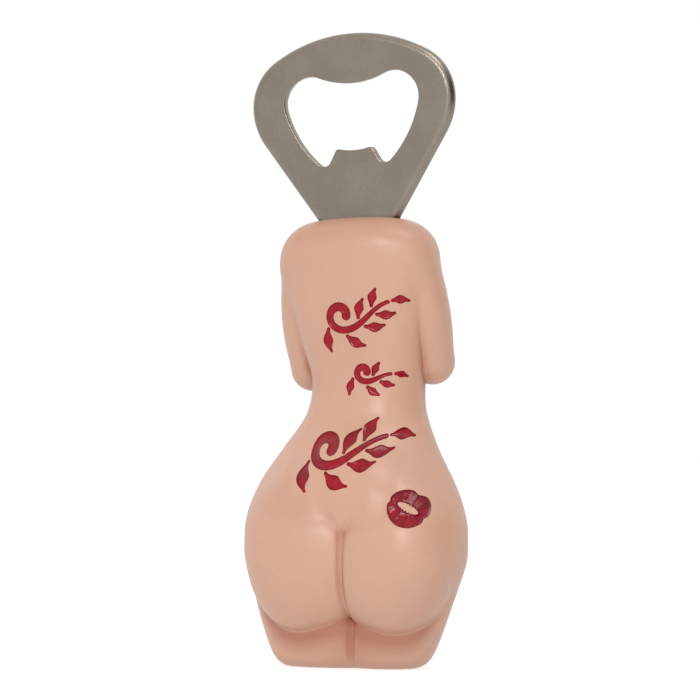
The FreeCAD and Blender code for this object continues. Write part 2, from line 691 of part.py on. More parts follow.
def scroll_outlines(name):
    """Outlines of one leafy scroll: its stem, its side leaves and the leaf at its tip."""
    s = {field: SIZES[f"{name}_{field}"] for field in SCROLL_FIELDS}
    stem = (s["heading"], s["stem_length"], s["curl_bend"], s["tip_bend"])
    widths = [s["stem_width"] * share for share in (STEM_HEAD, STEM_BELLY, STEM_TAIL)]
    outlines = [stroke_outline(walk(0, 0, *stem, STEM_STEPS), *widths)]
    path = walk(0, 0, *stem, WALK_STEPS)
    for side, places in zip((-1, 1), LEAF_PLACES[name]):
        for t in places:
            x, z, heading = path[round(t * WALK_STEPS)]
            away = side * (swell(t, *widths) / 2 + SIZES["leaf_gap"])
            x, z = x - sin(radians(heading)) * away, z + cos(radians(heading)) * away
            length = s["leaf_length"] * (1.2 - 0.5 * t)
            belly = s["leaf_width"] * (1.15 - 0.35 * t)
            leaf = walk(x, z, heading + side * SIZES["leaf_spread"], length,
                        -side * 4, -side * 14, LEAF_STEPS)
            outlines.append(stroke_outline(leaf, LEAF_HEAD, belly, LEAF_TAIL))
    x, z, heading = path[-1]
    x, z = x + 0.8 * cos(radians(heading)), z + 0.8 * sin(radians(heading))
    tip_leaf = walk(x, z, heading, s["leaf_length"] * 0.65, s["tip_bend"], s["tip_bend"],
                    LEAF_STEPS)
    outlines.append(stroke_outline(tip_leaf, LEAF_HEAD - 0.1, s["leaf_width"] * 0.8, LEAF_TAIL))
    xs = [x for outline in outlines for x, z in outline]
    zs = [z for outline in outlines for x, z in outline]
    shift_x = s["offset"] - (min(xs) + max(xs)) / 2
    shift_z = s["lift"] - (min(zs) + max(zs)) / 2
    return [[(x + shift_x, z + shift_z) for x, z in outline] for outline in outlines]


def kiss_outlines():
    """Outer edge of the kiss print and the slit between its lips."""
    s = SIZES
    outer, slit = [], []
    for turn in range(0, 360, 12):
        u = cos(radians(turn))
        v = sin(radians(turn))
        dip = 1 - 0.24 * 2.718 ** (-(u / 0.22) ** 2)
        rise = s["kiss_upper_rise"] * dip if v > 0 else s["kiss_lower_drop"]
        outer.append((u * s["kiss_half_width"], v * rise))
    for turn in range(0, 360, 30):
        slit.append((cos(radians(turn)) * s["kiss_slit_half_width"],
                     sin(radians(turn)) * s["kiss_slit_half_height"]))
    c, n = cos(radians(s["kiss_tilt"])), sin(radians(s["kiss_tilt"]))

    def place(u, v):
        return s["kiss_offset"] + u * c - v * n, s["kiss_height"] + u * n + v * c

    return [place(*point) for point in outer], [place(*point) for point in slit]


def outline_face(outline):
    """Flat face inside a closed smooth outline, standing in the plane where the cutter starts."""
    curve = Part.BSplineCurve()
    depth = SIZES["engraver_inner"]
    curve.interpolate([Vector(x, depth, z) for x, z in outline], PeriodicFlag=True)
    return Part.Face(Part.Wire([curve.toShape()]))


def make_enamel(label, faces, recess_floor, enamel_top):
    """Recess tool and enamel solids for one ornament; the faces are swept back through the body."""
    name = label.title().replace("_", "")
    lines = DOC.addObject("Part::Feature", f"{name}Lines")
    lines.Shape = Part.Compound(faces)
    sweep = DOC.addObject("Part::Extrusion", f"{name}Sweep")
    sweep.Base = lines
    sweep.Solid = True
    sweep.DirMode = "Custom"
    sweep.Dir = Vector(0, -1, 0)
    bind(sweep, LengthFwd="Dims.engraver_inner - Dims.engraver_outer")
    DOC.recompute()
    recess = DOC.addObject("Part::Cut", f"{name}Recess")
    recess.Base, recess.Tool = sweep, recess_floor
    DOC.recompute()
    enamel = DOC.addObject("Part::Common", name)
    enamel.Base, enamel.Tool = enamel_top, recess
    enamel.Label = label
    DOC.recompute()
    return recess, enamel


def make_sunk_copy(name, blank, sink):
    """The uncut figure moved forward by a sheet value: what lies deeper than that value."""
    copy = DOC.addObject("Part::Feature", name)
    copy.Shape = blank.Shape.copy()
    bind(copy, Placement__Base__y=sink)
    DOC.recompute()
    return copy


def check_document(parts):
    """Stop before anything is written if any object or sub-part has failed."""
    for obj in DOC.Objects:
        if "Invalid" in obj.State or "Error" in obj.State:
            raise RuntimeError(f"{obj.Name} did not build: {obj.State}")
    for part in parts:
        if part.Shape.isNull() or not part.Shape.isValid() or not part.Shape.Solids:
            raise RuntimeError(f"{part.Label} has no valid solid")


# ---------------------------------------------------------------- assembly

blank = make_blank()
opener_plate = make_opener_plate()

tang_slot = make_slot_box("TangSlot", "4")
adhesive_block = make_slot_box("AdhesiveBlock", "-Dims.slot_mouth_drop")
tang_adhesive = DOC.addObject("Part::Cut", "TangAdhesive")
tang_adhesive.Base, tang_adhesive.Tool = adhesive_block, opener_plate
tang_adhesive.Label = "tang_adhesive"
DOC.recompute()

ornaments = {f"enamel_{name}": [outline_face(outline) for outline in scroll_outlines(name)]
             for name in SCROLLS}
kiss_edge, kiss_slit = kiss_outlines()
ornaments["enamel_kiss_print"] = [outline_face(kiss_edge).cut(outline_face(kiss_slit))]

recess_floor = make_sunk_copy("RecessFloor", blank, "Dims.recess_depth")
enamel_top = make_sunk_copy("EnamelTop", blank, "Dims.enamel_top_drop")
recesses, enamels = [], []
for label, faces in ornaments.items():
    recess, enamel = make_enamel(label, faces, recess_floor, enamel_top)
    recesses.append(recess)
    enamels.append(enamel)

hollows = DOC.addObject("Part::MultiFuse", "CastingHollows")
grooves = [make_thigh_groove("rear"), make_thigh_groove("front")]
hollows.Shapes = [tang_slot] + grooves + recesses
handle_casting = DOC.addObject("Part::Cut", "HandleCasting")
handle_casting.Base, handle_casting.Tool = blank, hollows
handle_casting.Label = "handle_casting"
DOC.recompute()

sub_parts = [opener_plate, handle_casting, tang_adhesive] + enamels
check_document(sub_parts)
os.makedirs("parts", exist_ok=True)
for sub_part in sub_parts:
    sub_part.Shape.exportStep(f"parts/{sub_part.Label}.step")
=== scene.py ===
import math

import bmesh
import bpy
import numpy as np
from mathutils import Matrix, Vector


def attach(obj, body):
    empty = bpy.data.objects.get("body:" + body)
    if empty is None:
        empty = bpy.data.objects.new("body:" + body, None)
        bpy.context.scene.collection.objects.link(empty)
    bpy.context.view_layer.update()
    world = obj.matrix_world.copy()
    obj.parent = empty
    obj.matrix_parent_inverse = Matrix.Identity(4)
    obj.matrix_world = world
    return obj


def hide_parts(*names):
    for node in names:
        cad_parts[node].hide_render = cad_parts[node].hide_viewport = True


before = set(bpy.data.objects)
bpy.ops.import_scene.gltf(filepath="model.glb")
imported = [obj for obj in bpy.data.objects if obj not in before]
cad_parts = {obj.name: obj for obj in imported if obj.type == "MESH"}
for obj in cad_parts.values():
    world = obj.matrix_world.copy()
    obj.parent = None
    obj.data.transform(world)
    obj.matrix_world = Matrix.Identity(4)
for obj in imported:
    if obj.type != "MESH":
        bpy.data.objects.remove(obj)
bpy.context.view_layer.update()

# Souvenir bottle opener. The sculpted handle and its painted ornament are built here, in
# millimetres, in the same frame as the CAD, and scaled to metres as they become meshes.
MM = 0.001
LEAN = math.radians(3.5)
LEAN_HEIGHT = 50.0
CELL = 0.45


# ---------------------------------------------------------------- small helpers

def ramp(x, low, high):
    """Smooth step from 0 below low to 1 above high."""
    t = np.clip((x - low) / (high - low), 0.0, 1.0)
    return t * t * (3.0 - 2.0 * t)


def smooth_min(a, b, k):
    h = np.maximum(k - np.abs(a - b), 0.0)
    return np.minimum(a, b) - h * h / (4.0 * k)


def smooth_max(a, b, k):
    return -smooth_min(-a, -b, k)


def curves_through(z, table):
    """Smooth curves through every column of a table whose first column is z."""
    heights, *columns = (np.array(column, float) for column in zip(*table))
    z = np.clip(z, heights[0], heights[-1])
    i = np.clip(np.searchsorted(heights, z) - 1, 0, len(heights) - 2)
    gap = (heights[1:] - heights[:-1])[i]
    t = (z - heights[i]) / gap
    t2 = t * t
    t3 = t2 * t
    start, end = 2 * t3 - 3 * t2 + 1, 3 * t2 - 2 * t3
    lead, trail = (t3 - 2 * t2 + t) * gap, (t3 - t2) * gap
    curves = []
    for values in columns:
        slopes = np.gradient(values, heights)
        curves.append(start * values[i] + end * values[i + 1]
                      + lead * slopes[i] + trail * slopes[i + 1])
    return curves


# ---------------------------------------------------------------- the figure as a distance field

# height, half width, half depth, centre along Y and X, squareness of the level section
TORSO = (
    (-4.0, 16.2, 8.2, -2.4, -1.2, 2.6),
    (1.2, 16.8, 8.3, -2.3, -1.2, 2.6),
    (6.0, 18.9, 8.3, -2.1, -1.2, 2.4),
    (12.0, 21.1, 8.2, -1.7, -1.2, 2.3),
    (18.0, 22.9, 8.4, -1.3, -1.0, 2.2),
    (25.0, 23.3, 9.4, -1.0, -0.8, 2.1),
    (32.5, 22.7, 10.2, -0.9, -0.9, 2.05),
    (39.5, 20.5, 10.2, 0.3, -1.1, 2.0),
    (46.0, 16.6, 9.1, 2.2, -1.2, 2.05),
    (53.0, 12.9, 8.4, 4.0, -0.5, 2.15),
    (60.0, 12.2, 8.1, 4.9, 0.2, 2.25),
    (69.0, 13.7, 8.5, 5.2, -0.4, 2.35),
    (78.0, 15.5, 8.7, 5.2, -0.6, 2.4),
    (84.0, 15.9, 8.5, 5.0, -0.6, 2.4),
    (97.0, 15.7, 8.3, 5.0, -0.6, 2.4),
)
TOP = 93.6
ARM_SHIFT = -0.6
SEAT_CENTRE = (10.6, -6.0, 22.1)
SEAT_RADII = (11.9, 11.0, 15.2)
SEAT_TILT = math.radians(14.0)
SEAT_INNER = (15.2, 18.4)
SEAT_SQUARENESS = 2.2
SACRUM_CENTRE = (0.6, -3.0, 32.5)
SACRUM_RADII = (13.0, 11.7, 15.5)
# Joints of the arm towards +X: each a centre and a radius.
SHOULDER = ((12.2, 5.6, 83.0), 5.0)
ELBOW = ((13.4, 9.6, 62.6), 4.5)
WRIST = ((-2.5, 15.0, 70.2), 2.5)
PALM = ((-7.0, 13.9, 72.6), 2.4)
HAND_AT_WRIST = 2.3
KNUCKLE_RADIUS, FINGERTIP_RADIUS = 0.85, 0.7
FINGERS, KNUCKLE_STEP, FINGERTIP_STEP = 4, 1.25, 1.3
# How far each arm's wrist is set forward of WRIST, so that one arm crosses over the other.
RIGHT_FRONT, LEFT_FRONT = 1.0, -0.8
CLEFT_X, GROOVE_X = 0.85, 0.9
GROOVE_DEPTH, GROOVE_WIDTH = 0.55, 0.7
MOULD_LINE_RISE, MOULD_LINE_WIDTH = 0.35, 0.26
THIGH_PARTING, THIGH_PARTING_WIDTH = 1.4, 3.2
V_DEPTH, V_LEFT_WIDTH, V_RIGHT_WIDTH, V_STEEPNESS = 3.2, 3.5, 2.2, 1.6
SOLE_ROUNDING = 3.8
# Where the field is sampled, and where its cells are half as wide or half as tall.
FIELD_LOW, FIELD_HIGH = (-26.5, -19.0, -1.2), (26.5, 20.5, 95.0)
MIDDLE = 2.0
CREASE_LOW, CREASE_HIGH = 5.6, 12.0
SLOPE_STEP = 0.02
WELL_BEHIND = -24.0
# Points less deep than this count as the skin itself.
SKIN_DEPTH = 0.03


def unlean(x, z):
    """Level coordinates of the upper body, which leans to -X above the waist."""
    angle = LEAN * ramp(z, 40.0, 62.0)
    rise = z - LEAN_HEIGHT
    return (x * np.cos(angle) + rise * np.sin(angle),
            LEAN_HEIGHT + rise * np.cos(angle) - x * np.sin(angle))


def torso_field(x, y, z):
    width, depth, centre, shift, square = curves_through(z, TORSO)
    u = np.abs(x - shift) / width + 1e-9
    v = np.abs(y - centre) / depth + 1e-9
    r = (u ** square + v ** square) ** (1.0 / square)
    gu = (u / r) ** (square - 1) / width
    gv = (v / r) ** (square - 1) / depth
    return (r - 1.0) / np.sqrt(gu * gu + gv * gv)


def rounded_field(x, y, z, centre, radii, inner, tilt, square):
    """A rounded, slightly squarish mass, its -X radius called inner; a tilt leans it to +X."""
    dx, dy, dz = x - centre[0], y - centre[1], z - centre[2]
    c, s = math.cos(tilt), math.sin(tilt)
    across = dx * c - dz * s
    radii = (np.where(across < 0, inner, radii[0]), *radii[1:])
    shares = [np.abs(d) / radius + 1e-9
              for d, radius in zip((across, dy, dx * s + dz * c), radii)]
    k = sum(share ** square for share in shares) ** (1.0 / square)
    slopes = [(share / k) ** (square - 1) / radius for share, radius in zip(shares, radii)]
    return (k - 1.0) / np.sqrt(sum(slope * slope for slope in slopes))


def limb_field(x, y, z, a, ra, b, rb, bow=(0.0, 0.0, 0.0), swollen=0.0):
    """Round limb tapering from a to b, bowed and swollen most at its middle."""
    ab = [b[i] - a[i] for i in range(3)]
    t = ((x - a[0]) * ab[0] + (y - a[1]) * ab[1] + (z - a[2]) * ab[2]) / sum(c * c for c in ab)
    t = np.clip(t, 0.0, 1.0)
    hump = 4.0 * t * (1.0 - t)
    d = np.sqrt((x - a[0] - t * ab[0] - hump * bow[0]) ** 2
                + (y - a[1] - t * ab[1] - hump * bow[1]) ** 2
                + (z - a[2] - t * ab[2] - hump * bow[2]) ** 2)
    return d - (ra + (rb - ra) * t + hump * swollen)


def arm_field(x, y, z, front):
    """One arm folded across the chest, for the side towards +X; front is its wrist's extra Y."""
    (wrist_x, wrist_y, wrist_z), wrist_radius = WRIST
    (palm_x, palm_y, palm_z), palm_radius = PALM
    wrist = (wrist_x, wrist_y + front, wrist_z)
    palm = (palm_x, palm_y + front, palm_z)
    upper = limb_field(x, y, z, *SHOULDER, *ELBOW, (0.8, -0.4, 0.0), 0.25)
    forearm = limb_field(x, y, z, ELBOW[0], ELBOW[1] - 0.3, wrist, wrist_radius,
                         (0.6, 0.9, -0.3), 0.35)
    hand = limb_field(x, y, z, wrist, HAND_AT_WRIST, palm, palm_radius)
    for k in range(FINGERS):
        knuckle = (palm[0] - 0.4, palm[1] + 0.1, palm[2] + 2.0 - KNUCKLE_STEP * k)
        # The second finger is the longest.
        tip = (palm[0] - 4.6 + 0.3 * abs(k - 1), palm[1] - 1.9,
               palm[2] + 2.6 - FINGERTIP_STEP * k)
        finger = limb_field(x, y, z, knuckle, KNUCKLE_RADIUS, tip, FINGERTIP_RADIUS)
        hand = smooth_min(hand, finger, 0.5)
    return smooth_min(upper, smooth_min(forearm, hand, 1.2), 1.5)


def groove(off):
    """Depth of a narrow groove at a distance from its middle, where a fine mould line runs."""
    return (GROOVE_DEPTH * np.exp(-(off / GROOVE_WIDTH) ** 2)
            - MOULD_LINE_RISE * np.exp(-(off / MOULD_LINE_WIDTH) ** 2))


def figure_field(x, y, z):
    """Rough distance to the uncut figure, negative inside, in millimetres."""
    lx, lz = unlean(x, z)
    torso = torso_field(lx, y, lz)
    torso = smooth_max(torso, lz + 0.03 * lx - TOP + 0.006 * lx * lx, 7.0)
    # The thighs part along a hollow with a fine groove at its bottom.
    off = x - GROOVE_X
    parted = 1.0 - ramp(z, 12.0, 24.0)
    hollow = THIGH_PARTING * np.exp(-(off / THIGH_PARTING_WIDTH) ** 2)
    torso = torso + parted * (hollow + groove(off))
    right = arm_field(lx - ARM_SHIFT, y, lz, RIGHT_FRONT)
    left = arm_field(ARM_SHIFT - lx, y, lz, LEFT_FRONT)
    arm_blend = 0.5 + 5.0 * ramp(lz, 74.0, 90.0)
    upper = smooth_min(torso, smooth_min(right, left, 0.5), arm_blend)

    sacrum = rounded_field(x, y, z, SACRUM_CENTRE, SACRUM_RADII, SACRUM_RADII[0], 0.0, 2.0)
    upper = smooth_min(upper, sacrum, 5.0 * ramp(z, 28.0, 38.0) + 0.4)
    # The lower back ends in a V that points down into the cleft.
    off = x - CLEFT_X
    ended = (ramp(z, 8.0, 14.0) * (1.0 - ramp(z - V_STEEPNESS * np.abs(off), 24.0, 30.0))
             * ramp(-y, 2.0, 7.0))
    width = np.where(off < 0, V_LEFT_WIDTH, V_RIGHT_WIDTH)
    upper = upper + V_DEPTH * ended * np.exp(-(off / width) ** 2)
    seats = smooth_min(*(rounded_field(side * x, y, z, SEAT_CENTRE, SEAT_RADII, inner, SEAT_TILT,
                                       SEAT_SQUARENESS)
                         for side, inner in zip((1, -1), SEAT_INNER)), 0.7)
    seats = seats + (1.0 - ramp(z, 28.0, 32.0)) * groove(off)
    # How widely the seats blend into the body: crisp by the cleft and underneath, broad on top
    # and at the hips.
    side = np.abs(x + 0.6)
    near = ramp(side, 1.0, 8.0)
    blend = (0.6 + 0.8 * ramp(z, 26.0, 30.0)
             + ramp(z, 29.0 - 5.0 * near, 42.0) * (4.0 + 3.5 * near)
             * (1.0 - 0.7 * ramp(side, 12.0, 19.0))
             + 5.0 * ramp(side, 10.0, 19.0) * ramp(z, 14.0, 24.0))
    body = smooth_min(upper, seats, blend)
    return smooth_max(body, -z, SOLE_ROUNDING)


def field_at(points):
    return figure_field(points[:, 0], points[:, 1], points[:, 2])


def gradient_at(points):
    out = np.empty_like(points)
    for axis in range(3):
        step = np.zeros(3)
        step[axis] = SLOPE_STEP
        rise = field_at(points + step) - field_at(points - step)
        out[:, axis] = rise / (2 * SLOPE_STEP)
    return out


def outward_at(points):
    """Unit vectors that point straight out of the figure."""
    normal = gradient_at(points)
    return normal / (np.linalg.norm(normal, axis=1)[:, None] + 1e-12)


def to_surface(points):
    """Points moved onto the zero level by a few Newton steps."""
    for _ in range(5):
        g = gradient_at(points)
        points = points - g * (field_at(points) / np.maximum((g * g).sum(1), 1e-6))[:, None]
    return points


def surface_nets(low, high, cell):
    """Quads round the zero level of the figure's field, one vertex to a cell."""
    axes = [np.arange(low[i], high[i] + cell, cell) for i in range(3)]
    # Cells are half as wide up the middle, where the cleft and the groove run, and half as tall
    # along the creases under the seats.
    for axis, start, end in ((0, GROOVE_X - MIDDLE, GROOVE_X + MIDDLE),
                             (2, CREASE_LOW, CREASE_HIGH)):
        even = axes[axis]
        axes[axis] = np.concatenate([even[even < start - cell / 4],
                                     np.arange(start, end, cell / 2), even[even > end]])
    f = figure_field(*np.meshgrid(*axes, indexing="ij"))
    shape = tuple(n - 1 for n in f.shape)
    total = np.zeros(shape + (3,))
    count = np.zeros(shape)
    crossings = []
    for axis in range(3):
        a = np.take(f, range(f.shape[axis] - 1), axis)
        b = np.take(f, range(1, f.shape[axis]), axis)
        i, j, k = np.nonzero((a < 0) != (b < 0))
        t = a[i, j, k] / (a[i, j, k] - b[i, j, k])
        where = np.stack([i, j, k], 1)
        place = where.astype(float)
        place[:, axis] += t
        flip = b[i, j, k] < 0
        u, v = (axis + 1) % 3, (axis + 2) % 3
        ok = (where[:, u] > 0) & (where[:, v] > 0)
        ok &= (where[:, u] < shape[u]) & (where[:, v] < shape[v])
        where, place, flip = where[ok], place[ok], flip[ok]
        corners = []
        for du, dv in ((1, 1), (0, 1), (0, 0), (1, 0)):
            cell_index = where.copy()
            cell_index[:, u] -= du
            cell_index[:, v] -= dv
            np.add.at(total, tuple(cell_index.T), place)
            np.add.at(count, tuple(cell_index.T), 1)
            corners.append(cell_index)
        crossings.append((corners, flip))
    live = count > 0
    number = np.full(shape, -1)
    number[live] = np.arange(live.sum())
    points = total[live] / count[live][:, None]
    points = np.stack([np.interp(points[:, i], np.arange(len(axes[i])), axes[i])
                       for i in range(3)], 1)
    quads = []
    for corners, flip in crossings:
        q = np.stack([number[tuple(c.T)] for c in corners], 1)
        q[flip] = q[flip][:, ::-1]
        quads.append(q)
    return points, np.concatenate(quads)


def rear_surface(xz):
    """Y of the figure's rear surface at each (x, z), found by walking in from behind."""
    x, z = xz[:, 0], xz[:, 1]
    y = np.full(len(xz), WELL_BEHIND)
    for _ in range(14):
        y += 0.9 * figure_field(x, y, z)
    for _ in range(4):
        level = figure_field(x, y, z)
        slope = (level - figure_field(x, y + SLOPE_STEP, z)) / SLOPE_STEP
        y += level / np.maximum(slope, 0.3)
    return y


# ---------------------------------------------------------------- meshes

def new_mesh(name, points_mm, faces):
    mesh = bpy.data.meshes.new(name)
    mesh.from_pydata([tuple(np.asarray(p) * MM) for p in points_mm], [],
                     [tuple(int(i) for i in f) for f in faces])
    mesh.update()
    obj = bpy.data.objects.new(name, mesh)
    bpy.context.scene.collection.objects.link(obj)
    return obj


# ---------------------------------------------------------------- ornament strokes

STEM_HEAD, STEM_BELLY, STEM_TAIL = 1.55, 1.15, 0.6
LEAF_HEAD, LEAF_TAIL = 0.6, 0.45
LEAF_GAP, LEAF_SPREAD = 0.65, 50.0
WALK_STEPS = 64
STEM_STEPS, LEAF_STEPS, CAP_STEPS, ACROSS = 72, 26, 7, 6
STEM_OUTLINE, LEAF_OUTLINE = 22, 9

# offset, height, stem length, bend at the curl and at the tip (degrees per mm), heading of the
# curl's start, stem width, leaf length, leaf width; then where leaves sprout, outside and inside
SCROLLS = {
    "enamel_upper_scroll": ((1.6, 72.0, 22.0, 38.0, -11.0, -280.0, 1.15, 4.6, 2.1),
                            ((0.36, 0.52, 0.68, 0.84), (0.69, 0.86))),
    "enamel_middle_scroll": ((4.0, 59.8, 11.6, 66.0, -18.0, -275.0, 0.95, 3.1, 1.6),
                             ((0.36, 0.58, 0.80), (0.72,))),
    "enamel_lower_scroll": ((1.3, 44.2, 25.5, 33.0, -9.0, -290.0, 1.6, 6.2, 3.0),
                            ((0.36, 0.52, 0.68, 0.84), (0.69, 0.86))),
}
# The end leaf stands 0.2 mm further off than in the CAD, which leaves a sound wall before it.
END_GAP, END_LEAF_LENGTH, END_LEAF_WIDTH = 1.0, 0.65, 0.8
KISS = {"offset": 15.2, "height": 33.5, "half_width": 4.25, "upper": 3.55, "lower": 3.8,
        "slit_width": 2.4, "slit_height": 0.75, "tilt": -28.0}
# The dip in the top edge and the pinch at the corners, a little below the middle, as shares of
# the print's half width and height.
KISS_DIP, KISS_DIP_WIDTH = 0.15, 0.25
KISS_PINCH, KISS_PINCH_LOW, KISS_PINCH_WIDTH = 0.09, 0.1, 0.13
KISS_ROWS, KISS_COLUMNS = 96, 13
WRINKLES, WIDE_WRINKLES = 22, 9
RUFFLE, PUCKER = 0.12, 0.022
ORNAMENT_TOP = TOP - 12.0
# Depth of the recesses; depth of the paint's edge below the skin, and how much deeper its
# middle lies, more or less.
RECESS = 0.6
RIM_DROP, MIDDLE_DROP, DROP_UNEVENNESS = 0.10, 0.19, 0.035


def walk(x, z, heading, length, bend_in, bend_out, steps):
    """Points along a curve whose bend changes evenly from one end to the other."""
    points = [(x, z, heading)]
    stride = length / steps
    for i in range(steps):
        bend = bend_in + (bend_out - bend_in) * (i + 0.5) / steps
        turned = heading + bend * stride
        middle = math.radians((heading + turned) / 2)
        x, z, heading = x + stride * math.cos(middle), z + stride * math.sin(middle), turned
        points.append((x, z, heading))
    return points


def swell(t, head, belly, tail):
    """Width of a stroke at t: head at 0, belly half way, tail at 1."""
    end = head if t < 0.5 else tail
    return end + (belly - end) * math.sin(t * math.pi) ** 2


def stroke_rows(points, head, belly, tail, grow):
    """Rows of (x, z, nx, nz, half width) along a stroke, its rounded ends included."""
    rows = []
    last = len(points) - 1
    for i, (x, z, heading) in enumerate(points):
        angle = math.radians(heading)
        half = swell(i / last, head, belly, tail) / 2 + grow
        rows.append((x, z, -math.sin(angle), math.cos(angle), half))
    ends = []
    for place, size, sign in ((points[0], head, -1), (points[-1], tail, 1)):
        angle = math.radians(place[2])
        radius = size / 2 + grow
        cap = []
        for k in range(1, CAP_STEPS + 1):
            turn = k / CAP_STEPS * math.radians(88)
            reach = sign * radius * math.sin(turn)
            cap.append((place[0] + reach * math.cos(angle), place[1] + reach * math.sin(angle),
                        -math.sin(angle), math.cos(angle), radius * math.cos(turn)))
        ends.append(cap)
    return ends[0][::-1] + rows + ends[1]


def outline_extent(points, head, belly, tail):
    """Corner values of the coarse outline that the CAD centres its scroll on."""
    last = len(points) - 1
    xs, zs = [], []
    for i, (x, z, heading) in enumerate(points):
        half = swell(i / last, head, belly, tail) / 2
        for sign in (-1, 1):
            xs.append(x - sign * math.sin(math.radians(heading)) * half)
            zs.append(z + sign * math.cos(math.radians(heading)) * half)
    for (x, z, heading), size, start in ((points[-1], tail, -90), (points[0], head, 90)):
        for turn in (45, 90, 135):
            angle = math.radians(heading + start + turn)
            xs.append(x + size / 2 * math.cos(angle))
            zs.append(z + size / 2 * math.sin(angle))
    return xs, zs


def scroll_strokes(values, places):
    """Each stroke of a scroll as (walk arguments, steps, coarse steps, head, belly, tail)."""
    offset, lift, length, curl, tip, heading, stem_width, leaf_length, leaf_width = values
    widths = [stem_width * share for share in (STEM_HEAD, STEM_BELLY, STEM_TAIL)]
    stem = (0.0, 0.0, heading, length, curl, tip)
    strokes = [(stem, STEM_STEPS, STEM_OUTLINE, *widths)]
    path = walk(*stem, WALK_STEPS)
    for side, spots in zip((-1, 1), places):
        for t in spots:
            x, z, turn = path[round(t * WALK_STEPS)]
            away = side * (swell(t, *widths) / 2 + LEAF_GAP)
            root = (x - math.sin(math.radians(turn)) * away,
                    z + math.cos(math.radians(turn)) * away)
            leaf = (*root, turn + side * LEAF_SPREAD, leaf_length * (1.2 - 0.5 * t),
                    -side * 4, -side * 14)
            strokes.append((leaf, LEAF_STEPS, LEAF_OUTLINE, LEAF_HEAD,
                            leaf_width * (1.15 - 0.35 * t), LEAF_TAIL))
    x, z, turn = path[-1]
    root = (x + END_GAP * math.cos(math.radians(turn)),
            z + END_GAP * math.sin(math.radians(turn)))
    end_leaf = (*root, turn, leaf_length * END_LEAF_LENGTH, tip, tip)
    strokes.append((end_leaf, LEAF_STEPS, LEAF_OUTLINE, LEAF_HEAD - 0.1,
                    leaf_width * END_LEAF_WIDTH, LEAF_TAIL))
    xs, zs = [], []
    for path_args, _, coarse, *size in strokes:
        a, b = outline_extent(walk(*path_args, coarse), *size)
        xs += a
        zs += b
    shift = (offset - (min(xs) + max(xs)) / 2, lift - (min(zs) + max(zs)) / 2)
    return [((p[0] + shift[0], p[1] + shift[1], *p[2:]), steps, *size)
            for p, steps, _, *size in strokes]


def stroke_grid(stroke, grow):
    """(rows, columns, 2) array of (x, z) over a stroke widened by grow."""
    path_args, steps, head, belly, tail = stroke
    rows = stroke_rows(walk(*path_args, steps), head, belly, tail, grow)
    across = np.linspace(-1, 1, ACROSS + 1)
    x, z, nx, nz, half = (np.array(c)[:, None] for c in zip(*rows))
    return np.stack([x + nx * half * across, z + nz * half * across], 2)


def kiss_grid(grow):
    """Closed band of (x, z) between the slit and the outer edge of the lip print."""
    turns = np.linspace(0, 2 * math.pi, KISS_ROWS, endpoint=False)
    u, v = np.cos(turns), np.sin(turns)
    dip = 1 - KISS_DIP * np.exp(-(u / KISS_DIP_WIDTH) ** 2)
    pinch = 1 - KISS_PINCH * np.exp(-((v + KISS_PINCH_LOW) / KISS_PINCH_WIDTH) ** 2)
    outer = np.stack([u * pinch * (KISS["half_width"] + grow),
                      v * (np.where(v > 0, KISS["upper"] * dip, KISS["lower"]) + grow)], 1)
    ruffle = RUFFLE * np.cos(turns * WRINKLES) * (1.0 - np.abs(u) ** 6)
    inner = np.stack([u * (KISS["slit_width"] - grow),
                      v * (KISS["slit_height"] - grow + ruffle)], 1)
    t = np.linspace(0, 1, KISS_COLUMNS)[None, :, None]
    band = inner[:, None] * (1 - t) + outer[:, None] * t
    tilt = math.radians(KISS["tilt"])
    c, s = math.cos(tilt), math.sin(tilt)
    return np.stack([KISS["offset"] + band[..., 0] * c - band[..., 1] * s,
                     KISS["height"] + band[..., 0] * s + band[..., 1] * c], 2)


def lay_on(grid, depth):
    """Grid of (x, z) as points at a depth under the rear surface."""
    flat = grid.reshape(-1, 2)
    y = rear_surface(flat) + np.broadcast_to(depth, grid.shape[:2]).reshape(-1)
    return np.stack([flat[:, 0], y, flat[:, 1]], 1).reshape(grid.shape[:2] + (3,))


def slab(layers, closed):
    """Closed solid from stacked grids: the first and last are caps, the rest only edges."""
    points, faces = [], []
    rows, columns = layers[0].shape[:2]
    rings = []
    for level, grid in enumerate(layers):
        base = sum(len(p) for p in points)
        index = np.arange(rows * columns).reshape(rows, columns) + base
        points.append(grid.reshape(-1, 3))
        if closed:
            rings.append([index[:, 0], index[::-1, -1]])
        else:
            rings.append([np.concatenate([index[:, 0], index[-1, 1:], index[-2::-1, -1],
                                          index[0, -2:0:-1]])])
        if level in (0, len(layers) - 1):
            span = rows if closed else rows - 1
            for i in range(span):
                for j in range(columns - 1):
                    k = (i + 1) % rows
                    quad = (index[i, j], index[k, j], index[k, j + 1], index[i, j + 1])
                    faces.append(quad if level else quad[::-1])
    for below, above in zip(rings, rings[1:]):
        for low_ring, high_ring in zip(below, above):
            n = len(low_ring)
            for i in range(n):
                j = (i + 1) % n
                faces.append((low_ring[i], low_ring[j], high_ring[j], high_ring[i]))
    return np.concatenate(points), faces


def tidied(bm):
    """Weld, drop loose points and turn every face of one solid outwards."""
    bmesh.ops.remove_doubles(bm, verts=bm.verts, dist=1e-7)
    loose = [v for v in bm.verts if not v.link_faces]
    bmesh.ops.delete(bm, geom=loose, context="VERTS")
    bmesh.ops.recalc_face_normals(bm, faces=bm.faces)
    if bm.calc_volume(signed=True) < 0:
        bmesh.ops.reverse_faces(bm, faces=bm.faces)
    return bm


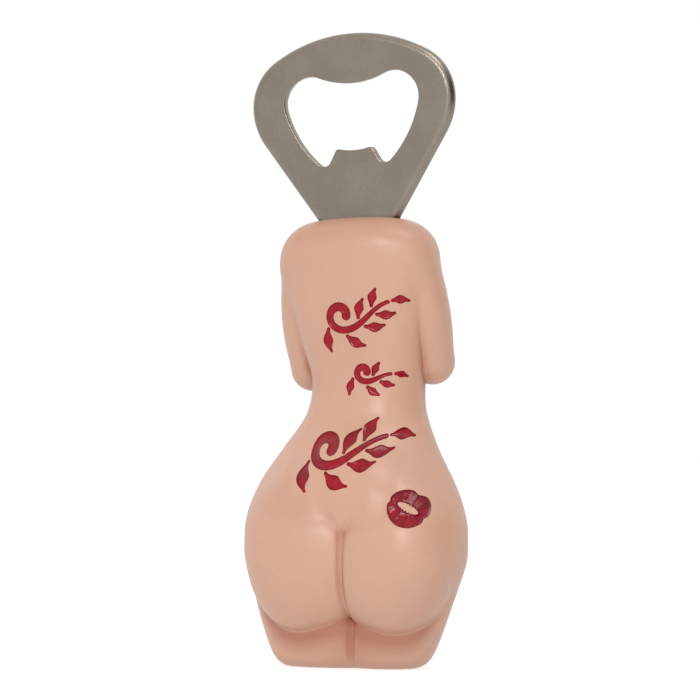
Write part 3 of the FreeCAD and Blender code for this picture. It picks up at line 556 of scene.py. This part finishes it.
def solid_mesh(name, solids):
    """One object from several closed solids, each given as points in millimetres and faces."""
    whole = bmesh.new()
    for points_mm, faces in solids:
        mesh = bpy.data.meshes.new("scratch")
        mesh.from_pydata([tuple(p) for p in np.asarray(points_mm) * MM], [],
                         [tuple(int(i) for i in f) for f in faces])
        bm = bmesh.new()
        bm.from_mesh(mesh)
        tidied(bm).to_mesh(mesh)
        bm.free()
        whole.from_mesh(mesh)
        bpy.data.meshes.remove(mesh)
    obj = new_mesh(name, [], [])
    whole.to_mesh(obj.data)
    whole.free()
    return obj


# Rings of the engraving tool: depth under the surface and how far it is widened there.
TOOL_RINGS = ((RECESS, -0.10), (RECESS - 0.10, -0.02), (0.16, 0.0), (0.04, 0.07), (-0.12, 0.20),
              (-1.2, 0.20))


def tool_solid(grid_of, closed):
    return slab([lay_on(grid_of(grow), depth) for depth, grow in TOOL_RINGS], closed)


def unevenness(grid, seed):
    """Smooth repeatable bumps over (x, z), between about -1 and 1."""
    x, z = grid[..., 0] * 1.1 + seed, grid[..., 1] * 1.1 - seed * 1.7
    return (np.sin(x * 1.9 + np.sin(z * 1.3)) + np.sin(z * 2.3 + np.sin(x * 1.7 + 1.1))
            + np.sin((x + z) * 3.1 + 0.7)) / 3.0


def enamel_solid(grid_of, closed, seed):
    """Paint lying in a recess: it creeps up the sides and sinks unevenly along its middle."""
    top = grid_of(0.02)
    edge = np.abs(np.linspace(-1, 1, top.shape[1]))[None, :]
    sunk = 1.0 - edge ** 4
    depth = RIM_DROP + sunk * (MIDDLE_DROP + DROP_UNEVENNESS * unevenness(top, seed))
    if closed:
        # The lip print is puckered: fine wrinkles run out from its slit.
        turns = np.linspace(0, 2 * math.pi, len(top), endpoint=False)[:, None]
        depth = depth + PUCKER * sunk * (np.cos(turns * WRINKLES)
                                         + 1.4 * np.cos(turns * WIDE_WRINKLES + 1.3))
    layers = [lay_on(grid_of(-0.12), RECESS), lay_on(grid_of(-0.04), RECESS - 0.1),
              lay_on(grid_of(0.0), 0.2), lay_on(top, depth)]
    return slab(layers, closed)


# ---------------------------------------------------------------- build the handle

points, quads = surface_nets(FIELD_LOW, FIELD_HIGH, CELL)
casting = solid_mesh("handle_sculpt", [(to_surface(points), quads)])

tools, seed = [], 0
enamel_pieces = {}
for name, (values, places) in SCROLLS.items():
    solids = []
    for stroke in scroll_strokes(values, places):
        seed += 1
        def grid_of(grow, stroke=stroke):
            return stroke_grid(stroke, grow)
        tools.append(tool_solid(grid_of, False))
        solids.append(enamel_solid(grid_of, False, seed))
    enamel_pieces[name] = solid_mesh(name + "_paint", solids)
tools.append(tool_solid(kiss_grid, True))
enamel_pieces["enamel_kiss_print"] = solid_mesh("enamel_kiss_print_paint",
                                                 [enamel_solid(kiss_grid, True, 40)])
engraver = solid_mesh("engraver", tools)

# The slot for the tang: its sides, depths and heights in the plate's own leaning frame, whose
# origin NECK is given as (x, z).
SLOT_X, SLOT_Y, SLOT_Z = (-9.45, 9.45), (3.85, 6.55), (-26.2, 4.0)
NECK = (-2.642, 93.2)
corners = [(x, y, z) for x in SLOT_X for y in SLOT_Y for z in SLOT_Z]
cos_lean, sin_lean = math.cos(LEAN), math.sin(LEAN)
corners = [(NECK[0] + x * cos_lean - z * sin_lean, y, NECK[1] + x * sin_lean + z * cos_lean)
           for x, y, z in corners]
slot_cutter = solid_mesh("slot_cutter", [(corners, [
    (0, 1, 3, 2), (4, 6, 7, 5), (0, 4, 5, 1), (2, 3, 7, 6), (0, 2, 6, 4), (1, 5, 7, 3)])])

for obj in (engraver, slot_cutter):
    cut = casting.modifiers.new("cut", "BOOLEAN")
    cut.operation = "DIFFERENCE"
    cut.solver = "MANIFOLD"
    cut.object = obj
    bpy.context.view_layer.update()
    result = bpy.data.meshes.new_from_object(
        casting.evaluated_get(bpy.context.evaluated_depsgraph_get()))
    casting.modifiers.clear()
    casting.data = result
    bpy.data.objects.remove(obj)


def places_of(mesh):
    """Array of the mesh's points in millimetres."""
    flat = np.empty(len(mesh.vertices) * 3)
    mesh.vertices.foreach_get("co", flat)
    return flat.reshape(-1, 3) / MM


def store_value(mesh, name, values):
    mesh.attributes.new(name, "FLOAT", "POINT").data.foreach_set("value", values)


def shade(obj, crease):
    """Smooth shading that breaks at edges sharper than the crease, in degrees."""
    mesh = obj.data
    mesh.polygons.foreach_set("use_smooth", [True] * len(mesh.polygons))
    mesh.set_sharp_from_angle(angle=math.radians(crease))


def shade_by_field(obj, crease):
    """Skin faces take their normals from the field itself; cut faces keep their own."""
    shade(obj, crease)
    mesh = obj.data
    place = places_of(mesh)
    on_skin = np.abs(field_at(place)) < SKIN_DEPTH
    normal = outward_at(place)
    loops = np.empty(len(mesh.loops) * 3)
    mesh.corner_normals.foreach_get("vector", loops)
    loops = loops.reshape(-1, 3)
    for face in mesh.polygons:
        verts = np.array(face.vertices)
        if on_skin[verts].all() and (normal[verts] @ np.array(face.normal)).min() > 0.8:
            loops[face.loop_start:face.loop_start + face.loop_total] = normal[verts]
    mesh.normals_split_custom_set([tuple(n) for n in loops])


# How the painted shade gathers in creases and under overhangs: upward tilt of the look outwards,
# reach, share.
HOLLOWS = ((0.0, 0.7, 0.25), (0.0, 2.2, 0.30), (1.2, 3.5, 0.35), (1.2, 7.0, 0.45))
THIGH_SHADE, THIGH_SHADE_WIDTH = 0.32, 6.0
SETTLING_ROUNDS, SETTLING_SHARE = 3, 0.6


def store_painted_shade(obj):
    """Point attribute for painted shade: how shut in or overhung the surface is, from 0 in the
    open to about 1.
    """
    mesh = obj.data
    place = places_of(mesh)
    normal = outward_at(place)
    start = field_at(place)
    shut = np.zeros(len(place))
    for upward, reach, share in HOLLOWS:
        look = normal + np.array([0.0, 0.0, upward])
        look /= np.linalg.norm(look, axis=1)[:, None]
        open_reach = reach * np.maximum((look * normal).sum(1), 0.3)
        seen = np.clip((field_at(place + look * reach) - start) / open_reach, 0.0, 1.0)
        counted = ramp(normal[:, 2], -0.5, -0.1) if upward else 1.0
        shut += share * (1.0 - seen) * counted
    # Painted shade is also laid on the rear between the thighs, below the seats.
    off, height = place[:, 0] - GROOVE_X, place[:, 2]
    shut += (THIGH_SHADE * np.exp(-(off / THIGH_SHADE_WIDTH) ** 2)
             * (1.0 - ramp(height, 7.0, 12.0))
             * ramp(-normal[:, 1], 0.2, 0.6) * ramp(height, 0.5, 2.5))
    # The painted shade is softened, so each point settles towards its neighbours.
    edges = np.empty(len(mesh.edges) * 2, dtype=np.int64)
    mesh.edges.foreach_get("vertices", edges)
    a, b = edges.reshape(-1, 2).T
    count = np.bincount(a, minlength=len(shut)) + np.bincount(b, minlength=len(shut))
    for _ in range(SETTLING_ROUNDS):
        total = np.bincount(a, shut[b], len(shut)) + np.bincount(b, shut[a], len(shut))
        shut = (1 - SETTLING_SHARE) * shut + SETTLING_SHARE * total / np.maximum(count, 1)
    store_value(mesh, "hollowness", shut)


def store_paint_depth(obj):
    """Point attribute: how far below the skin the surface lies, in millimetres."""
    depth = -field_at(places_of(obj.data))
    store_value(obj.data, "paint_depth", depth)
    return depth


shade_by_field(casting, 40)
store_painted_shade(casting)
# The recesses are cut into the rear; the slot for the tang lies further in.
depth, places = store_paint_depth(casting), places_of(casting.data)
engraved = (depth > SKIN_DEPTH) & (places[:, 1] < 0.0) & (places[:, 2] < ORNAMENT_TOP)
engraved_faces = [int(engraved[list(face.vertices)].any()) for face in casting.data.polygons]
for piece in enamel_pieces.values():
    shade(piece, 50)
    store_paint_depth(piece)


# ---------------------------------------------------------------- materials

def material(name):
    mat = bpy.data.materials.new(name)
    mat.use_nodes = True
    tree = mat.node_tree
    tree.nodes.clear()
    out = tree.nodes.new("ShaderNodeOutputMaterial")
    shader = tree.nodes.new("ShaderNodeBsdfPrincipled")
    tree.links.new(shader.outputs["BSDF"], out.inputs["Surface"])
    return mat, tree, shader


def srgb(r, g, b):
    def linear(c):
        c /= 255.0
        return c / 12.92 if c <= 0.04045 else ((c + 0.055) / 1.055) ** 2.4
    return (linear(r), linear(g), linear(b), 1.0)


def add(tree, kind, settings=(), **inputs):
    """New node; settings are its own properties, inputs its sockets' values or sources.

    An input is named after its socket, or _0, _1 and so on after its place among them.
    """
    node = tree.nodes.new("ShaderNode" + kind)
    for key, value in dict(settings).items():
        setattr(node, key, value)
    for key, value in inputs.items():
        number = key[1:]
        socket = node.inputs[int(number) if number.isdigit() else key.replace("_", " ")]
        if isinstance(value, bpy.types.NodeSocket):
            tree.links.new(value, socket)
        else:
            socket.default_value = value
    return node


def millimetres(tree, stretch=(1.0, 1.0, 1.0), turn=(0.0, 0.0, 0.0)):
    """Object coordinates in millimetres, turned and then stretched."""
    coords = add(tree, "TexCoord").outputs["Object"]
    mapping = add(tree, "Mapping", Vector=coords, Rotation=turn)
    mapping.inputs["Scale"].default_value = [1000.0 * s for s in stretch]
    return mapping.outputs["Vector"]


def noise(tree, where, scale, detail=3.0, rough=0.55):
    return add(tree, "TexNoise", Vector=where, Scale=scale, Detail=detail,
               Roughness=rough).outputs["Fac"]


def spread(tree, value, low, high, to_low=0.0, to_high=1.0):
    """Value remapped from low..high to to_low..to_high, clamped."""
    node = add(tree, "MapRange", Value=value)
    for name, number in (("From Min", low), ("From Max", high), ("To Min", to_low),
                         ("To Max", to_high)):
        node.inputs[name].default_value = number
    return node.outputs["Result"]


def times(tree, a, b):
    return add(tree, "Math", {"operation": "MULTIPLY"}, _0=a, _1=b).outputs[0]


def plus(tree, a, b):
    return add(tree, "Math", {"operation": "ADD"}, _0=a, _1=b).outputs[0]


def blend(tree, share, a, b):
    """Colour going from a to b as share goes from 0 to 1."""
    node = add(tree, "Mix", {"data_type": "RGBA"}, Factor=share)
    for index, value in ((6, a), (7, b)):
        if isinstance(value, bpy.types.NodeSocket):
            tree.links.new(value, node.inputs[index])
        else:
            node.inputs[index].default_value = value
    return node.outputs[2]


def bump(tree, height, distance_mm, strength=1.0, under=None):
    node = add(tree, "Bump", Height=height, Distance=distance_mm * MM, Strength=strength)
    if under is not None:
        tree.links.new(under, node.inputs["Normal"])
    return node.outputs["Normal"]


def make_resin():
    """Cast resin sprayed flesh-tone: a satin coat, faintly mottled, with painted shade in the
    creases and under overhangs.
    """
    mat, tree, shader = material("satin_resin")
    where = millimetres(tree)
    drift = noise(tree, where, 0.055, 2.0)
    mottle = noise(tree, where, 0.6, 4.0)
    speck = noise(tree, where, 5.0, 2.0)
    colour = blend(tree, spread(tree, drift, 0.35, 0.65), srgb(206, 159, 135), srgb(202, 156, 133))
    colour = blend(tree, spread(tree, mottle, 0.45, 0.75, 0.0, 0.22), colour, srgb(199, 148, 125))
    colour = blend(tree, spread(tree, speck, 0.62, 0.75, 0.0, 0.25), colour, srgb(190, 135, 111))
    # Painted shade: a darker, warmer tone where the surface is shut in or overhung.
    shut = add(tree, "Attribute", {"attribute_name": "hollowness"}).outputs["Fac"]
    colour = blend(tree, spread(tree, shut, 0.08, 0.80, 0.0, 0.85), colour,
                   srgb(172, 110, 86))
    # The sole is ground flat after painting, which bares paler resin.
    height = add(tree, "SeparateXYZ", Vector=where).outputs["Z"]
    down = add(tree, "SeparateXYZ", Vector=add(tree, "NewGeometry").outputs["Normal"]).outputs["Z"]
    ground = times(tree, spread(tree, height, 0.02, 0.10, 1.0, 0.0),
                   spread(tree, down, -0.99, -0.9, 1.0, 0.0))
    grind = noise(tree, millimetres(tree, (6.0, 0.25, 1.0), (0, 0, 0.5)), 1.0, 3.0)
    colour = blend(tree, times(tree, ground, spread(tree, grind, 0.3, 0.6, 0.75, 1.0)), colour,
                   srgb(226, 204, 186))
    tree.links.new(colour, shader.inputs["Base Color"])
    dull = spread(tree, mottle, 0.3, 0.7, 0.34, 0.44)
    dull = plus(tree, dull, times(tree, shut, 0.15))
    tree.links.new(plus(tree, dull, times(tree, ground, 0.2)), shader.inputs["Roughness"])
    relief = bump(tree, noise(tree, where, 0.9, 2.0), 0.025, 0.4)
    relief = bump(tree, speck, 0.018, 0.7, relief)
    relief = bump(tree, times(tree, grind, ground), 0.03, 0.5, relief)
    tree.links.new(relief, shader.inputs["Normal"])
    shader.inputs["Coat Weight"].default_value = 0.25
    shader.inputs["Coat Roughness"].default_value = 0.26
    return mat


def make_steel():
    """Nickel-plated steel, barrel-tumbled: an even fine grain with stray hairline scratches."""
    mat, tree, shader = material("tumbled_steel")
    where = millimetres(tree)
    cloud = noise(tree, where, 0.12, 3.0)
    grain = noise(tree, where, 6.0, 4.0, 0.7)
    pits = noise(tree, where, 2.2, 3.0)
    colour = blend(tree, spread(tree, cloud, 0.35, 0.65), srgb(160, 149, 137), srgb(150, 140, 128))
    colour = blend(tree, spread(tree, grain, 0.40, 0.66, 0.0, 0.42), colour, srgb(118, 109, 100))
    colour = blend(tree, spread(tree, pits, 0.66, 0.72, 0.0, 0.6), colour, srgb(112, 103, 94))
    tree.links.new(colour, shader.inputs["Base Color"])
    hairlines = None
    for turn, gap in ((0.35, 1.3), (-0.9, 1.9), (1.4, 2.6)):
        line = noise(tree, millimetres(tree, (3.4, 3.4, 0.12), (0, turn, 0)), gap, 1.0)
        line = spread(tree, line, 0.66, 0.72)
        hairlines = line if hairlines is None else plus(tree, hairlines, line)
    dull = spread(tree, grain, 0.3, 0.7, 0.28, 0.40)
    tree.links.new(plus(tree, dull, times(tree, hairlines, -0.05)), shader.inputs["Roughness"])
    relief = bump(tree, grain, 0.02, 0.8)
    relief = bump(tree, hairlines, -0.006, 0.5, relief)
    tree.links.new(relief, shader.inputs["Normal"])
    shader.inputs["Metallic"].default_value = 1.0
    return mat


def make_red(name, thick, thin, blotch_and_shade_red):
    """Glossy red enamel brushed into a recess, mottled with darker blotches; painted shade darkens
    it up the sides, so it is lighter along its middle.
    """
    mat, tree, shader = material(name)
    where = millimetres(tree)
    streak = noise(tree, millimetres(tree, (1.0, 1.0, 0.5), (0, 0.5, 0)), 0.9, 3.0)
    blotch = noise(tree, where, 2.6, 3.0)
    colour = blend(tree, spread(tree, streak, 0.35, 0.65), thick, thin)
    colour = blend(tree, spread(tree, blotch, 0.5, 0.72, 0.0, 0.5), colour, blotch_and_shade_red)
    sunk = add(tree, "Attribute", {"attribute_name": "paint_depth"}).outputs["Fac"]
    sunk = plus(tree, sunk, spread(tree, streak, 0.3, 0.7, -0.03, 0.03))
    # Painted shade: where the paint lies shallow, up the recess sides, it takes the darker red.
    colour = blend(tree, spread(tree, sunk, 0.11, 0.26), blotch_and_shade_red, colour)
    tree.links.new(colour, shader.inputs["Base Color"])
    tree.links.new(spread(tree, blotch, 0.3, 0.7, 0.16, 0.28), shader.inputs["Roughness"])
    relief = bump(tree, noise(tree, where, 1.7, 3.0), 0.06, 0.5)
    tree.links.new(relief, shader.inputs["Normal"])
    shader.inputs["Specular IOR Level"].default_value = 0.26
    shader.inputs["Coat Weight"].default_value = 0.1
    shader.inputs["Coat Roughness"].default_value = 0.12
    return mat


def make_epoxy():
    """Cured epoxy: faintly yellow, clear at the surface, with trapped bubbles."""
    mat, tree, shader = material("cured_epoxy")
    where = millimetres(tree)
    bubbles = add(tree, "TexVoronoi", Vector=where, Scale=1.6).outputs["Distance"]
    pale = spread(tree, bubbles, 0.12, 0.22, 1.0, 0.0)
    haze = noise(tree, where, 0.5, 3.0)
    colour = blend(tree, spread(tree, haze, 0.3, 0.7), srgb(203, 190, 158), srgb(214, 205, 180))
    tree.links.new(blend(tree, times(tree, pale, 0.5), colour, srgb(236, 232, 218)),
                   shader.inputs["Base Color"])
    tree.links.new(spread(tree, haze, 0.3, 0.7, 0.14, 0.28), shader.inputs["Roughness"])
    tree.links.new(bump(tree, plus(tree, haze, times(tree, pale, 0.3)), 0.08, 0.6),
                   shader.inputs["Normal"])
    return mat


resin = make_resin()
steel = make_steel()
red = make_red("red_enamel_paint", srgb(148, 2, 22), srgb(164, 14, 34), srgb(106, 0, 12))
print_red = make_red("lip_print_paint", srgb(140, 2, 20), srgb(152, 10, 30), srgb(100, 0, 12))
# The walls' thin line is shaded by its surroundings, so its paint is brighter.
wall_red = make_red("recess_wall_paint", srgb(196, 22, 44), srgb(204, 34, 54), srgb(184, 16, 38))
glue = make_epoxy()

casting.data.materials.clear()
casting.data.materials.append(resin)
casting.data.materials.append(wall_red)
casting.data.polygons.foreach_set("material_index", engraved_faces)
for name, piece in enamel_pieces.items():
    piece.data.materials.clear()
    piece.data.materials.append(print_red if name == "enamel_kiss_print" else red)
for node, mat in (("opener_plate", steel), ("tang_adhesive", glue)):
    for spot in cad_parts[node].material_slots:
        spot.material = mat

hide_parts("handle_casting")
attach(casting, "root")
for name, piece in enamel_pieces.items():
    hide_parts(name)
    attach(piece, "root")


# ---------------------------------------------------------------- stage, light and camera

# Brightness of the floor and of the studio's walls.
FLOOR_GLOW = 0.66
BEHIND, FRONT_LOW, FRONT_HIGH, FLAG_LEVEL = 0.95, 0.68, 0.82, 0.02
# The camera's place round the object, and the width of the object's plane that fills the frame.
AZIMUTH = math.radians(21.5)
DISTANCE = 0.9
EYE = 0.0658
FRAME_WIDTH = 0.145228
SENSOR = 36.0
RIGHT = Vector((math.cos(AZIMUTH), math.sin(AZIMUTH), 0))
BACK = Vector((math.sin(AZIMUTH), -math.cos(AZIMUTH), 0))

camera_data = bpy.data.cameras.new("camera")
camera_data.sensor_width = SENSOR
camera_data.lens = SENSOR * DISTANCE / FRAME_WIDTH
camera = bpy.data.objects.new("camera", camera_data)
bpy.context.scene.collection.objects.link(camera)
target = Vector((0, -0.003, EYE)) + RIGHT * -0.00145
camera.location = target + BACK * DISTANCE
camera.rotation_euler = (target - camera.location).to_track_quat("-Z", "Y").to_euler()
bpy.context.scene.camera = camera

floor = new_mesh("floor", [(-1500, -1500, 0), (1500, -1500, 0), (1500, 1500, 0), (-1500, 1500, 0)],
                 [(0, 1, 2, 3)])
floor_mat, tree, shader = material("white_floor")
seen = add(tree, "LightPath").outputs["Is Camera Ray"]
paper = spread(tree, noise(tree, millimetres(tree), 0.02, 2.0), 0.3, 0.7, 0.94, 0.96)
tree.links.new(times(tree, spread(tree, seen, 0.0, 1.0, 0.42, 0.50), paper),
               shader.inputs["Base Color"])
tree.links.new(spread(tree, seen, 0.0, 1.0, 0.5, FLOOR_GLOW), shader.inputs["Emission Strength"])
shader.inputs["Emission Color"].default_value = (1, 1, 1, 1)
shader.inputs["Roughness"].default_value = 0.8
floor.data.materials.append(floor_mat)

# The studio: white behind the object, dimmer in front, with a black flag on the right.
world = bpy.data.worlds.new("studio")
world.use_nodes = True
tree = world.node_tree
sky = tree.nodes["Background"]
heading = add(tree, "TexCoord").outputs["Generated"]


def towards(direction):
    """How far a world direction points towards another, from -1 to 1."""
    node = add(tree, "VectorMath", {"operation": "DOT_PRODUCT"}, _0=heading)
    node.inputs[1].default_value = direction
    return node.outputs["Value"]


front = spread(tree, towards(BACK), -0.55, 0.25)
flag = spread(tree, towards(RIGHT * 0.90 + BACK * 0.44), 0.70, 0.84)
upper = spread(tree, towards((0, 0, 1)), -0.4, 0.9, FRONT_LOW, FRONT_HIGH)
level = add(tree, "Mix", {"data_type": "FLOAT"}, Factor=front, _2=BEHIND, _3=upper).outputs[0]
level = times(tree, level, spread(tree, flag, 0.0, 1.0, 1.0, FLAG_LEVEL))
seen = add(tree, "LightPath").outputs["Is Camera Ray"]
level = add(tree, "Mix", {"data_type": "FLOAT"}, Factor=seen, _2=level, _3=1.0).outputs[0]
tree.links.new(level, sky.inputs["Color"])
bpy.context.scene.world = world
bpy.context.scene.view_settings.view_transform = "Standard"


def softbox(name, where, aim, size, power):
    """Area light: its place, what it faces and its size are in metres, its power in watts."""
    light = bpy.data.lights.new(name, "AREA")
    light.shape = "RECTANGLE"
    light.size, light.size_y = size
    light.energy = power
    obj = bpy.data.objects.new(name, light)
    bpy.context.scene.collection.objects.link(obj)
    obj.location = where
    obj.rotation_euler = (aim - where).to_track_quat("-Z", "Y").to_euler()
    return obj


UP = Vector((0, 0, 1))
softbox("overhead", BACK * 0.30 + RIGHT * 0.14 + UP * 0.70, UP * 0.08, (0.2, 0.2), 0.8)
softbox("key", BACK * 0.715 - RIGHT * 0.178 + UP * 0.40, UP * 0.08, (0.16, 0.12), 1.1)
fill = softbox("front", BACK * 0.95 + RIGHT * 0.05 + UP * 0.10, UP * 0.05, (0.7, 0.5), 2.0)
# The fill only lifts the shadows: it leaves no highlight of its own.
fill.visible_glossy = False
